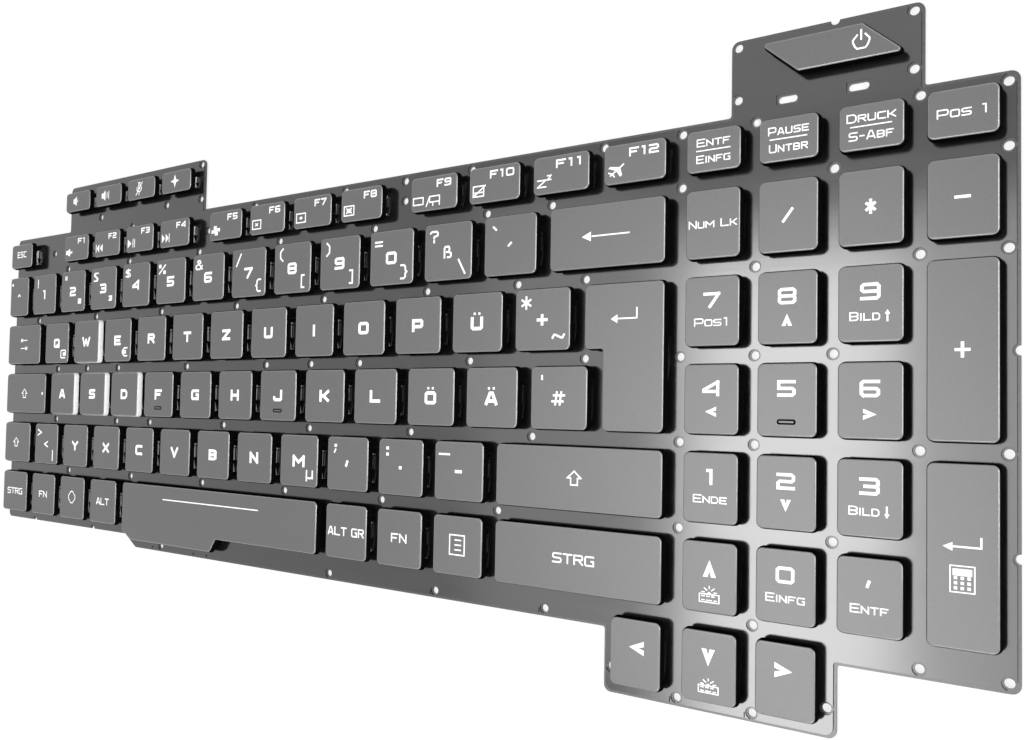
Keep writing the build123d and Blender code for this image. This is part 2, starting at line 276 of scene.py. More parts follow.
def corner_turns(corners):
    """Each corner with the directions of the edges before and after it."""
    for p, q, r in zip(corners[-1:] + corners[:-1], corners, corners[1:] + corners[:1]):
        yield q, unit(q[0] - p[0], q[1] - p[1]), unit(r[0] - q[0], r[1] - q[1])


def grown(corners, grow):
    """The outline moved outwards by a distance, corner by corner."""
    moved = []
    for (x, y), a, b in corner_turns(corners):
        share = grow / (1 + a[0] * b[0] + a[1] * b[1])
        moved.append((x + (a[1] + b[1]) * share, y - (a[0] + b[0]) * share))
    return moved


def rounded(corners, outer, inner, steps):
    """The outline with every corner turned in an arc, of the inner radius where it steps in."""
    points = []
    for (x, y), a, b in corner_turns(corners):
        turn = atan2(a[0] * b[1] - a[1] * b[0], a[0] * b[0] + a[1] * b[1])
        radius = outer if turn > 0 else -inner
        back = abs(radius) * tan(abs(turn) / 2)
        cx, cy = x - a[0] * back - a[1] * radius, y - a[1] * back + a[0] * radius
        start = atan2(-a[0] * radius, a[1] * radius)
        for n in range(steps + 1):
            angle = start + turn * n / steps
            points.append((cx + abs(radius) * cos(angle), cy + abs(radius) * sin(angle)))
    return points


def circle(x, y, radius, points=20):
    angles = [2 * pi * n / points for n in range(points)]
    return [(x + radius * cos(angle), y + radius * sin(angle)) for angle in angles]


def box_outline(x, y, width, depth):
    return [(x - width / 2, y - depth / 2), (x + width / 2, y - depth / 2),
            (x + width / 2, y + depth / 2), (x - width / 2, y + depth / 2)]


# A mesh under construction, in layout millimetres
class Build:
    def __init__(self):
        self.points = []
        self.faces = []
        self.slots = []
        self.smooth = []

    def loft(self, rings, slots, smooth=True, ends=(None, None)):
        """Bands between rings of equally many points, and flat ends where a slot is given for them."""
        count = len(rings[0])
        first = len(self.points)
        self.points += [p for ring in rings for p in ring]
        for band, slot in enumerate(slots):
            a = first + band * count
            for n in range(count):
                m = (n + 1) % count
                self.face([a + n, a + m, a + count + m, a + count + n], slot, smooth)
        if ends[0] is not None:
            self.face(list(range(first, first + count))[::-1], ends[0], False)
        if ends[1] is not None:
            last = first + count * (len(rings) - 1)
            self.face(list(range(last, last + count)), ends[1], False)

    def face(self, indices, slot, smooth):
        self.faces.append(indices)
        self.slots.append(slot)
        self.smooth.append(smooth)

    def prism(self, outline, bottom, top, slot=0):
        rings = [[(x, y, z) for x, y in outline] for z in (bottom, top)]
        self.loft(rings, [slot], smooth=False, ends=(slot, slot))

    def rod(self, a, b, radius, sides=8):
        """A round rod between two points of one height."""
        a, b = Vector(a), Vector(b)
        along = (b - a).normalized()
        side = along.cross(Vector((0, 0, 1))).normalized()
        up = along.cross(side)
        turns = [2 * pi * n / sides for n in range(sides)]
        ring = [side * cos(t) * radius + up * sin(t) * radius for t in turns]
        self.loft([[tuple(end + r) for r in ring] for end in (a, b)], [0], ends=(0, 0))

    def rail(self, a, b, width, thickness):
        """A flat rail between two points of one YZ plane, with eased edges."""
        a, b = Vector(a), Vector(b)
        along = (b - a).normalized()
        side = Vector((1, 0, 0))
        up = along.cross(side)
        ease = thickness * link_edge_ease
        w, t = width / 2, thickness / 2
        ring = [(w - ease, -t), (w, ease - t), (w, t - ease), (w - ease, t),
                (ease - w, t), (-w, t - ease), (-w, ease - t), (ease - w, -t)]
        ring = [side * x + up * z for x, z in ring][::-1]
        self.loft([[tuple(end + r) for r in ring] for end in (a, b)], [0], smooth=False, ends=(0, 0))

    def finish(self, name, materials):
        mesh = bpy.data.meshes.new(name)
        mesh.from_pydata([place(*p) for p in self.points], [], self.faces)
        mesh.polygons.foreach_set("material_index", self.slots)
        mesh.polygons.foreach_set("use_smooth", self.smooth)
        for material in materials:
            mesh.materials.append(material)
        mesh.update()
        obj = bpy.data.objects.new(name, mesh)
        bpy.context.scene.collection.objects.link(obj)
        return obj


# Materials
def grey(value):
    return (value, value, value, 1)


class Finish:
    """A principled material with noise in its colour, roughness and surface."""

    rough_spread = 0.08
    ramp_start, ramp_end = 0.3, 0.7
    colour_detail, grain_detail = 3.0, 2.0

    def __init__(self, name, dark, light, rough, scale=1200, stretch=(1, 1, 1), specular=0.5):
        self.material = bpy.data.materials.new(name)
        self.material.use_nodes = True
        self.tree = self.material.node_tree
        self.shader = self.tree.nodes["Principled BSDF"]
        self.shader.inputs["Specular IOR Level"].default_value = specular
        self.shader.inputs["Roughness"].default_value = rough
        self.stretch = stretch
        self.vary("Base Color", scale, dark, light)
        smoothest, roughest = rough * (1 - self.rough_spread), rough * (1 + self.rough_spread)
        self.vary("Roughness", scale, grey(smoothest), grey(roughest))

    def noise(self, scale, detail):
        where = self.tree.nodes.new("ShaderNodeTexCoord")
        mapping = self.tree.nodes.new("ShaderNodeMapping")
        mapping.inputs["Scale"].default_value = self.stretch
        texture = self.tree.nodes.new("ShaderNodeTexNoise")
        texture.inputs["Scale"].default_value = scale
        texture.inputs["Detail"].default_value = detail
        self.tree.links.new(where.outputs["Object"], mapping.inputs["Vector"])
        self.tree.links.new(mapping.outputs["Vector"], texture.inputs["Vector"])
        return texture.outputs["Fac"]

    def vary(self, socket, scale, low, high):
        ramp = self.tree.nodes.new("ShaderNodeValToRGB")
        ramp.color_ramp.elements[0].position = self.ramp_start
        ramp.color_ramp.elements[1].position = self.ramp_end
        ramp.color_ramp.elements[0].color = low
        ramp.color_ramp.elements[1].color = high
        self.tree.links.new(self.noise(scale, self.colour_detail), ramp.inputs["Fac"])
        self.tree.links.new(ramp.outputs["Color"], self.shader.inputs[socket])

    def grain(self, scale, strength, depth):
        bump = self.tree.nodes.new("ShaderNodeBump")
        bump.inputs["Strength"].default_value = strength
        bump.inputs["Distance"].default_value = depth
        self.tree.links.new(self.noise(scale, self.grain_detail), bump.inputs["Height"])
        self.tree.links.new(bump.outputs["Normal"], self.shader.inputs["Normal"])
        return self


top_paint = Finish("cap_top_paint", grey(0.05), grey(0.064), 0.4, 2600, specular=0.9)
top_paint.grain(5200, 0.15, 0.00003)
# The rim's base grey is lighter than the top paint. It is a painted highlight along the eased edge, on top of
# the rim's real gloss.
rim_highlight_paint = Finish("cap_rim_highlight_paint", grey(0.14), grey(0.17), 0.2, 1800, specular=1.0)
rim_highlight_paint.grain(4200, 0.1, 0.00002)
side_black = Finish("cap_side_black", grey(0.002), grey(0.004), 0.6, 1500, specular=0.0)
side_black.grain(3800, 0.15, 0.00002)
clear_skirt = Finish("cap_clear_skirt", grey(0.82), grey(0.9), 0.22, 700).grain(900, 0.1, 0.00002)
legend_white = Finish("legend_white", grey(0.9), grey(0.96), 0.5, 4000)
film_grey = Finish("switch_film", grey(0.005), grey(0.009), 0.15, 240, (0.12, 1, 1), specular=1.0)
film_grey.grain(900, 0.12, 0.00003)
plate_black = Finish("plate_black_paint", grey(0.02), grey(0.04), 0.3, specular=0.8)
plate_black.grain(2400, 0.15, 0.00003)
panel_white = Finish("light_panel", grey(0.74), grey(0.82), 0.6, scale=160).grain(600, 0.1, 0.00003)
dome_rubber = Finish("dome_rubber", grey(0.55), grey(0.66), 0.6, scale=800).grain(1500, 0.1, 0.00003)
link_plastic = Finish("link_plastic", grey(0.46), grey(0.56), 0.15, scale=1500).grain(2000, 0.1, 0.00002)
cap_materials = [finish.material for finish in (top_paint, side_black, legend_white, rim_highlight_paint)]
open_materials = [finish.material for finish in (top_paint, clear_skirt, legend_white, rim_highlight_paint)]
face_slot, side_slot, legend_slot, rim_highlight_slot = range(4)


# Legends, drawn with strokes on a grid of eight by eight; a stroke that starts with * is a filled shape
letters = {
    "A": "00 38 58 80|12 72", "B": "00 08|08 68 87 85 64 04|64 83 81 60 00", "C": "80 10 01 07 18 88",
    "D": "00 08 68 86 82 60 00", "E": "80 00 08 88|04 74", "F": "00 08 88|04 64",
    "G": "88 18 07 01 10 80 84 64", "H": "00 08|80 88|04 84", "I": "40 48", "J": "02 01 10 70 81 88",
    "K": "00 08|88 34 80|04 34", "L": "08 00 80", "M": "00 08 43 88 80", "N": "00 08 80 88",
    "O": "10 01 07 18 78 87 81 70 10", "P": "00 08|08 78 87 84 73 03",
    "Q": "10 01 07 18 78 87 81 70 10|52 80", "R": "00 08|08 78 87 85 74 04|44 80",
    "S": "88 18 07 05 14 74 83 81 70 00", "T": "08 88|48 40", "U": "08 01 10 70 81 88", "V": "08 40 88",
    "W": "08 20 46 60 88", "X": "00 88|08 80", "Y": "08 44 88|44 40", "Z": "08 88 00 80",
    "0": "10 01 07 18 78 87 81 70 10", "1": "28 58 50", "2": "08 78 87 85 74 14 03 00 80",
    "3": "08 78 87 85 74 24|74 83 81 70 00", "4": "80 88|88 03 02 82", "5": "88 08 04 74 83 81 70 00",
    "6": "88 18 07 01 10|10 70 81 83 74 04", "7": "08 88 30",
    "8": "14 05 07 18 78 87 85 74 14|14 03 01 10 70 81 83 74", "9": "84 14 05 07 18 78|78 87 81 70 00",
    "-": "14 74", "+": "04 84|40 48", "*": "40 48|12 76|16 72", "/": "20 68", "\\": "28 60", "^": "25 47 65",
    "°": "37 46 35 26 37", "!": "48 43|41 40", '"': "38 35|58 55", "=": "12 72|15 75", "'": "47 45",
    "§": "78 28 16 63 52|10 60 72 25 36", "$": "77 27 15 64 73 71 11|48 40",
    "?": "17 28 68 77 75 44 43|41 40",
    "%": "00 88|08 28 26 06 08|60 80 82 62 60", "&": "80 27 38 58 66|66 03 01 10 50 83", "(": "58 36 32 50",
    ")": "38 56 52 30", "{": "68 48 37 35 24 33 31 40 60", "}": "28 48 57 55 64 53 51 40 20",
    "[": "58 38 30 50", "]": "38 58 50 30", "<": "77 14 71", ">": "17 74 11", "|": "40 48",
    "~": "03 15 25 63 73 85", "#": "20 38|50 68|02 72|16 86", "@": "70 10 01 07 18 78 87 83|83 43 45 85",
    "€": "78 38 16 12 30 70|05 55|03 53", "µ": "10 18|13 22 52 73|78 72", "`": "36 54", "´": "34 56",
    ",": "46 33", ".": "*33 53 55 35", ":": "*35 55 57 37|*31 51 53 33", ";": "*35 55 57 37|43 31",
    "_": "04 84", "ß": "00 07 18 58 67 65 54 34|54 83 81 70 40", "²": "27 67 65 25 23 63",
    "³": "27 67 63 23|35 65",
}
narrow_letters = {"I": 0.3, "1": 0.7, " ": 0.5, "M": 1.3, "W": 1.3, "-": 0.7, "ß": 0.72}
icons = {
    "left_head": "*04 88 80", "enter": "*03 25 21|83 23|83 88", "shift": "48 84 64 60 20 24 04 48",
    "tab": "06 08|07 87|28 07 26|80 82|01 81|60 81 62", "menu": "00 80 88 08 00|32 62|34 64|36 66",
    "ring": "30 03 05 38 58 85 83 50 30", "star": "*48 55 84 53 40 33 04 35", "line": "04 84",
    "mute": "*02 22 50 58 26 06|63 85|65 83", "previous": "00 08|*14 48 40|*54 88 80",
    "play": "*00 44 08|60 68|80 88", "next": "*00 34 08|*40 74 48|80 88",
    "fan": "*44 25 28 58|*44 56 86 83|*44 63 60 30|*44 32 02 05", "light_off": "00 80 88 08 00|33 55|35 53",
    "light_low": "00 80 88 08 00|34 43 54 45 34", "light_high": "00 80 88 08 00|*24 46 64 42|22 66|26 62",
    "displays": "02 32 38 08 02|40 58|53 83 88 58 53|60 63|80 83",
    "touchpad_off": "00 70 78 08 00|03 73|00 88", "sleep": "05 55 00 50|68 88 65 85",
    "airplane": "11 88|*66 17 06 44|*66 71 60 44|22 03|22 30",
    "volume_down": "*02 22 50 58 26 06|73 75", "volume_up": "*02 22 40 48 26 06|62 66|81 87",
    "microphone_off": "34 38 58 54 34|15 13 32 52 73 75|42 40|00 88",
    "keyboard_light": "00 80 84 04 00|34 45 54|13 23|33 43|53 63|11 21|31 51|61 71"
                      "|15 25|27 36|47 48|67 56|65 75",
    "calculator": "00 80 88 08 00|*15 75 77 17",
    "up": "*00 30 43 50 80 48", "down": "*08 38 45 58 88 40", "left": "*80 83 54 85 88 04",
    "right": "*00 03 34 05 08 84",
    "page_up": "40 46|*25 65 48", "page_down": "42 48|*23 40 63",
    "bar": "*00 80 88 08", "power": "26 15 04 03 11 20 60 71 83 84 75 66|48 44",
}
legend_depth = 0.03
legend_bottom = cap_face - legend_depth
letter_height, letter_weight = 3.35, 0.86
digit_height, digit_weight = 3.35, 0.78
symbol_height, symbol_weight = 3.2, 0.5
tall_signs, tall_sign_height = "()[]{}/\\|", 4.0
word_height, word_weight = 1.72, 0.25
capital_height, capital_weight = 2.35, 0.38
label_height, label_weight = 2.0, 0.42
pad_digit_height, pad_digit_weight = 3.3, 0.63
main_sizes = {
    "+": (2.7, 0.72), "ß": (3.2, 0.5), "#": (3.3, 0.5), "^": (2.9, 0.5), "´": (2.9, 0.5), "<": (2.9, 0.5),
}
icon_weight = 0.33
fine_icons, fine_weight = ("keyboard_light", "calculator"), 0.22
small_capital = 0.84
stroke_drop = 0.0012
sharpest_turn = -0.3
mitre_limit = -0.4
letter_width = 1.12
letter_gap = 0.9
main_sign_drop, umlaut_letter_drop = 0.1, 0.25
rule_lift, rule_length, rule_weight = 0.15, 7.6, 0.24
page_word, page_word_place, page_word_width = "Bild", (-1.0, -2.4), 5.6
calculator_key, calculator_drop, calculator_steps = 0.55, 5.6, (1.1, 0.9)


def add_stroke(build, points, weight, top):
    """A flat band along the points, mitred at its turns and square at its ends."""
    closed = points[0] == points[-1]
    points = points[:-1] if closed else points
    count = len(points)
    first = len(build.points)
    for n, (x, y) in enumerate(points):
        before, after = points[n - 1], points[(n + 1) % count]
        starts = not closed and n == 0
        ends = not closed and n == count - 1
        a = None if starts else unit(x - before[0], y - before[1])
        b = a if ends else unit(after[0] - x, after[1] - y)
        a = a or b
        reach = (ends - starts) * weight / 2
        x, y = x + b[0] * reach, y + b[1] * reach
        half = weight / (1 + max(a[0] * b[0] + a[1] * b[1], mitre_limit)) / 2
        dx, dy = -(a[1] + b[1]) * half, (a[0] + b[0]) * half
        build.points += [(x - dx, y - dy, legend_bottom), (x - dx, y - dy, top),
                         (x + dx, y + dy, top), (x + dx, y + dy, legend_bottom)]
    for n in range(count if closed else count - 1):
        i, j = first + 4 * n, first + 4 * ((n + 1) % count)
        for k in range(4):
            build.face([i + k, j + k, j + (k + 1) % 4, i + (k + 1) % 4], legend_slot, False)
    if not closed:
        last = first + 4 * (count - 1)
        build.face([first, first + 1, first + 2, first + 3], legend_slot, False)
        build.face([last + 3, last + 2, last + 1, last], legend_slot, False)


def add_shape(build, points, top):
    """A filled shape, turned anticlockwise if its points aren't."""
    area = sum(p[0] * q[1] - p[1] * q[0] for p, q in zip(points, points[1:] + points[:1]))
    build.prism(points if area > 0 else points[::-1], legend_bottom, top, legend_slot)


def split_at_sharp_turns(points):
    """The runs of a stroke between its sharp turns, where a mitre would be too long."""
    runs = [points[:1]]
    for n, (x, y) in enumerate(points[1:], 1):
        runs[-1].append((x, y))
        if n < len(points) - 1:
            a = unit(x - points[n - 1][0], y - points[n - 1][1])
            b = unit(points[n + 1][0] - x, points[n + 1][1] - y)
            if a[0] * b[0] + a[1] * b[1] < sharpest_turn:
                runs.append([(x, y)])
    return runs


def add_sign(build, strokes, x, y, width, height, weight):
    """One glyph or icon in a box of that size round x, y, each stroke a hair below the one before."""
    top = cap_top
    for stroke in strokes.split("|"):
        filled = stroke.startswith("*")
        edge = 0 if filled else weight
        points = [(x + (int(u) / 8 - 0.5) * (width - edge), y + (int(v) / 8 - 0.5) * (height - edge))
                  for u, v in stroke.lstrip("*").split()]
        if filled:
            add_shape(build, points, top)
            top -= stroke_drop
            continue
        for run in split_at_sharp_turns(points):
            add_stroke(build, run, weight, top)
            top -= stroke_drop


def add_text(build, text, x, y, height, weight, width=None):
    """A text in capitals centred on x, y, with its small letters as smaller capitals."""
    heights = [height if n == 0 or text[n - 1] in " -" or not c.islower() else height * small_capital
               for n, c in enumerate(text)]
    glyphs = [c if c in letters else c.upper() for c in text]
    widths = [narrow_letters.get(c, 1) * letter_width * h for c, h in zip(glyphs, heights)]
    gap = weight * letter_gap
    fit = (width - gap * (len(text) - 1)) / sum(widths) if width else 1
    left = x - (sum(widths) * fit + gap * (len(text) - 1)) / 2
    for c, w, h in zip(glyphs, widths, heights):
        if c != " ":
            add_sign(build, letters[c], left + w * fit / 2, y - (height - h) / 2, w * fit, h, weight)
        left += w * fit + gap


# What the lettered keys carry: the sign in the middle, at the upper left and at the lower right
signs_by_key = {
    "number_accent": "^° ", "number_1": "1! ", "number_2": '2"²', "number_3": "3§³", "number_4": "4$ ",
    "number_5": "5% ", "number_6": "6& ", "number_7": "7/{", "number_8": "8([", "number_9": "9)]",
    "number_0": "0=}", "number_sharp_s": "ß?\\", "number_acute": "´` ", "letter_plus": "+*~",
    "letter_hash": "#' ", "letter_angle": "<>|", "letter_comma": ",; ", "letter_dot": ".: ",
    "letter_dash": "-_ ", "letter_q": "Q @", "letter_e": "E €", "letter_m": "M µ",
}
function_icons = [
    "mute", "previous", "play", "next", "fan", "light_off", "light_low", "light_high", "displays",
    "touchpad_off", "sleep", "airplane",
]
# Words: each text with its height above the key's middle and its width
words_by_key = {
    "delete_key": [("Entf", 1.85, 7.4), ("Einfg", -1.7, 7.5)],
    "pause_key": [("Pause", 1.85, 8.2), ("Untbr", -1.7, 7.8)],
    "print_key": [("Druck", 1.85, 9.0), ("S-Abf", -1.7, 8.2)],
    "home_key": [("Pos 1", 0.05, 8.6)],
    "num_lock_key": [("Num Lk", 0.05, 10.6)],
    "pad_7_key": [("Pos1", -2.3, 7.7)],
    "pad_1_key": [("Ende", -2.3, 7.4)],
    "pad_0_key": [("Einfg", -2.3, 7.8)],
    "pad_comma_key": [("Entf", -2.3, 6.9)],
    "right_control_key": [("STRG", 0.2, 11.0)],
    "modifier_control": [("STRG", 0, 10.6)],
    "modifier_function": [("FN", 0, 5.3)],
    "modifier_alt": [("ALT", 0, 7.4)],
    "modifier_alt_right": [("ALT GR", 0, 13.4)],
    "modifier_function_right": [("FN", 0.1, 5.3)],
    "escape_key": [("ESC", 0.6, 6.4)],
}
# Icons: each with its place right of and above the key's middle, its width and its height
icons_by_key = {
    "volume_down_key": [("volume_down", -1.2, 0.2, 3.2, 3.4)],
    "volume_up_key": [("volume_up", -1.8, 0.1, 4.4, 3.6)],
    "mic_mute_key": [("microphone_off", -1.0, 0.1, 3.6, 4.4)],
    "launch_key": [("star", -0.6, 0.2, 4.4, 4.4)],
    "tab_key": [("tab", 0, 0.1, 4.6, 4.4)],
    "caps_lock_key": [("shift", -0.9, 0, 3.9, 3.5), ("bar", 11.6, 0, 0.9, 0.9)],
    "left_shift_key": [("shift", -0.8, 0, 3.9, 3.5)],
    "right_shift_key": [("shift", 0, 0.2, 3.9, 3.5)],
    "modifier_system": [("ring", 0, 0.2, 4.4, 4.4)],
    "modifier_menu": [("menu", 0, 0.2, 4.9, 5.2)],
    "backspace_key": [("left_head", -4.9, 0, 2.4, 2.2), ("line", 1.3, 0, 9.6, 0.45)],
    "enter_key": [("enter", 0.2, row_pitch / 2 - 0.2, 6.6, 3.9)],
    "pad_enter_key": [("enter", 0, 2.1, 6.4, 3.1), ("calculator", 0, -4.0, 4.2, 4.9)],
    "pad_8_key": [("up", 0, -2.5, 2.1, 2.4)],
    "pad_2_key": [("down", 0, -2.5, 2.1, 2.4)],
    "pad_4_key": [("left", 0, -2.6, 2.4, 2.1)],
    "pad_6_key": [("right", 0, -2.6, 2.4, 2.1)],
    "pad_9_key": [("page_up", 3.1, -2.4, 1.9, 2.3)],
    "pad_3_key": [("page_down", 3.1, -2.4, 1.9, 2.3)],
    "arrow_up_key": [("up", 0.1, 1.8, 2.9, 3.5), ("keyboard_light", 0.1, -3.5, 4.5, 3.5)],
    "arrow_down_key": [("down", 0, 2.0, 2.9, 3.5), ("keyboard_light", 0.1, -3.8, 4.5, 3.1)],
    "arrow_left_key": [("left", 0.4, 1.4, 3.5, 3.0)],
    "arrow_right_key": [("right", -0.2, 2.0, 3.5, 3.0)],
    "power_button": [("power", 6.0, 0.3, 3.4, 3.9)],
    "space_bar": [("line", -1.0, 5.1, 45.9, 0.35)],
}
# Signs of the number pad: each with its height above the key's middle and its width
pad_digit_lift = 2.3
pad_signs = {
    "divide_key": ("/", 0.1, 4.0), "multiply_key": ("*", 0.1, 2.4), "minus_key": ("-", 0.1, 3.4),
    "pad_plus_key": ("+", 0.1, 2.6), "pad_comma_key": (",", pad_digit_lift, 3.0),
}
pad_sign_height, pad_sign_weight = 2.9, 0.55
corner_sign = (4.5, 4.1)
function_label_height = 2.4
short_label, long_label = (3.3, 4.7), (2.3, 7.2)
function_icon, wide_icon = (-4.5, -1.4, 4.0, 2.9), (-2.4, -2.0, 9.0, 2.7)
umlaut_dot, umlaut_spread, umlaut_lift = 0.6, 0.72, 2.2
feeler_drop = 4.4
# The feeler's outer size and its lift belong to a painted shadow: a black band round the bar.
feeler_shadow_size, feeler_core = (3.8, 1.1), (3.0, 0.38)
feeler_shadow_lift, feeler_round_share, feeler_steps = 0.003, 0.45, 4


def add_letter_legends(build, name, x, y):
    if name in signs_by_key:
        main, upper, lower = signs_by_key[name]
        size = (letter_height, letter_weight) if main.isalpha() else (digit_height, digit_weight)
        add_text(build, main, x, y - main_sign_drop, *main_sizes.get(main, size))
        add_symbol(build, upper, x - corner_sign[0], y + corner_sign[1])
        add_symbol(build, lower, x + corner_sign[0], y - corner_sign[1])
    elif name.endswith(("_ue", "_oe", "_ae")):
        add_text(build, name[-2].upper(), x, y - umlaut_letter_drop, letter_height, letter_weight)
        for side in (-1, 1):
            dot = x + side * umlaut_spread
            add_sign(build, icons["bar"], dot, y + umlaut_lift, umlaut_dot, umlaut_dot, 0)
    else:
        letter = name.replace("letter_", "")[0].upper()
        add_text(build, letter, x, y, letter_height, letter_weight)
    if name in ("letter_f", "letter_j"):
        add_feeler(build, x, y - feeler_drop)


def add_symbol(build, sign, x, y):
    height = tall_sign_height if sign in tall_signs else symbol_height
    add_text(build, sign, x, y, height, symbol_weight)


def add_function_legends(build, number, x, y):
    dx, width = short_label if number < 10 else long_label
    add_text(build, f"F{number}", x + dx, y + function_label_height, label_height, label_weight, width)
    icon = function_icons[number - 1]
    dx, dy, width, height = wide_icon if icon == "displays" else function_icon
    add_sign(build, icons[icon], x + dx, y + dy, width, height, icon_weight)


def add_calculator_keys(build, x, y):
    for column in (-1, 0, 1):
        for line in (0, 1, 2):
            key_x = x + calculator_steps[0] * column
            key_y = y - calculator_drop + line * calculator_steps[1]
            add_sign(build, icons["bar"], key_x, key_y, calculator_key, calculator_key, 0)


def add_feeler(build, x, y):
    """The raised bar for the finger tips, with a painted shadow round it as a black line."""
    shadow_top = cap_face + feeler_shadow_lift
    # The wider prism in the black side paint is a painted shadow round the bar. The core above it is the bar
    # itself.
    for size, top, slot in ((feeler_shadow_size, shadow_top, side_slot), (feeler_core, cap_top, face_slot)):
        outline = rounded(box_outline(x, y, *size), size[1] * feeler_round_share, 0, feeler_steps)
        build.prism(outline, legend_bottom, top, slot)


def add_legends(build, name, corners):
    x, y = middle(corners)
    if name.startswith(("number_", "letter_")) or name in open_keys:
        add_letter_legends(build, name, x, y)
    elif name.startswith("function_"):
        add_function_legends(build, int(name.split("_")[1]), x, y)
    elif name.startswith("pad_") and name[4].isdigit():
        add_text(build, name[4], x, y + pad_digit_lift, pad_digit_height, pad_digit_weight)
    words = words_by_key.get(name, [])
    for word, dy, width in words:
        size = (capital_height, capital_weight) if word.isupper() else (word_height, word_weight)
        add_text(build, word, x, y + dy, *size, width)
    if len(words) == 2:
        add_sign(build, icons["line"], x, y + rule_lift, rule_length, rule_weight, rule_weight)
    for icon, dx, dy, width, height in icons_by_key.get(name, []):
        weight = fine_weight if icon in fine_icons else icon_weight
        add_sign(build, icons[icon], x + dx, y + dy, width, height, min(weight, height))
    if name in pad_signs:
        sign, dy, width = pad_signs[name]
        add_sign(build, letters[sign], x, y + dy, width, pad_sign_height, pad_sign_weight)
    if name in ("pad_9_key", "pad_3_key"):
        dx, dy = page_word_place
        add_text(build, page_word, x + dx, y + dy, word_height, word_weight, page_word_width)
    if name == "pad_5_key":
        add_feeler(build, x, y - feeler_drop)
    if name == "pad_enter_key":
        add_calculator_keys(build, x, y)


# Keycaps
def cap_rings(corners, profile, corner):
    rings = []
    for grow, z in profile:
        inner = max(step_corner - grow, least_step_corner)
        outer = max(corner + grow, least_cap_corner)
        outline = rounded(grown(corners, grow), outer, inner, corner_steps)
        rings.append([(x, y, z) for x, y in outline])
    return rings


def add_cap(build, corners, corner):
    """A keycap: tapered skirt, eased rim, flat face and an open underside."""
    outside = cap_rings(corners, skirt_profile + rim_profile, corner)
    # The rim bands take the lighter rim grey, a painted highlight.
    slots = [side_slot] * len(skirt_profile) + [rim_highlight_slot] * (len(rim_profile) - 1)
    build.loft(outside, slots, ends=(None, face_slot))
    inside = [ring[::-1] for ring in cap_rings(corners, inside_profile, corner)]
    build.loft(inside, [side_slot] * (len(inside) - 1), smooth=False, ends=(None, side_slot))


def make_caps():
    builds = {}
    for name, corners in keys.items():
        build = builds.setdefault(group_of(name) or name, Build())
        add_cap(build, corners, power_corner if name == "power_button" else cap_corner)
        add_legends(build, name, corners)
    for node, build in builds.items():
        obj = build.finish(node + "_cap", open_materials if node in open_keys else cap_materials)
        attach(obj, "base" if node in group_nodes.values() else node + "_body")
        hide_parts(node)


make_caps()


# Plate, switch film and light panel
def plate_corners():
    foot = plate_left + left_foot_width
    return [
        (plate_left, -left_foot_margin), (foot, -left_foot_margin), (foot + left_foot_slant, plate_bottom),
        (-arrow_tab_left, plate_bottom), (-arrow_tab_left, arrow_tab_bottom),
        (arrow_tab_right, arrow_tab_bottom), (arrow_tab_right, plate_bottom),
        (plate_right, plate_bottom), (plate_right, plate_top),
        (power_tab_right, plate_top), (power_tab_right, tab_top),
        (power_tab_left, tab_top), (power_tab_left, plate_top),
        (hot_tab_right, plate_top), (hot_tab_right, tab_top),
        (hot_tab_left, tab_top), (hot_tab_left, plate_top), (plate_left, plate_top),
    ]


def stations(start, *steps):
    return [start + step * key_pitch for step in steps]


pad_lines = [numpad_offset + numpad_pitch * n for n in range(4)]
upper_start = plate_left + tab_width
home_start = upper_start + enter_step
lower_start = -11 * key_pitch - right_shift_width
bottom_start = -3 * key_pitch - right_shift_width
space_left = bottom_start - space_width
seam_x = numpad_offset / 4
rim_x = plate_right - edge_hole_inset
rim_top = plate_top - edge_hole_inset
rim_bottom = plate_bottom + edge_hole_inset
last_rim_post = -1.75 * key_pitch
arrow_side_y = -0.75 * row_pitch
arrow_rim = arrow_tab_bottom + edge_hole_inset
tab_rows = [tab_top - tab_hole_inset, field_top + top_key_lift - tab_hole_inset / 2]
power_tab_columns = [power_tab_left + tab_hole_inset, power_tab_right - edge_hole_inset]
group_gap_y = 5 * row_pitch + function_row_depth / 2
group_gap_posts = [upper_start] + [start - function_group_gap / 2 for start in function_starts[1:]]
mount_posts = [(x, y) for y in (2 * row_pitch, 3 * row_pitch) for x in stations(home_start, 0, 7)]
mount_posts += [(x, y) for y in tab_rows for x in power_tab_columns]
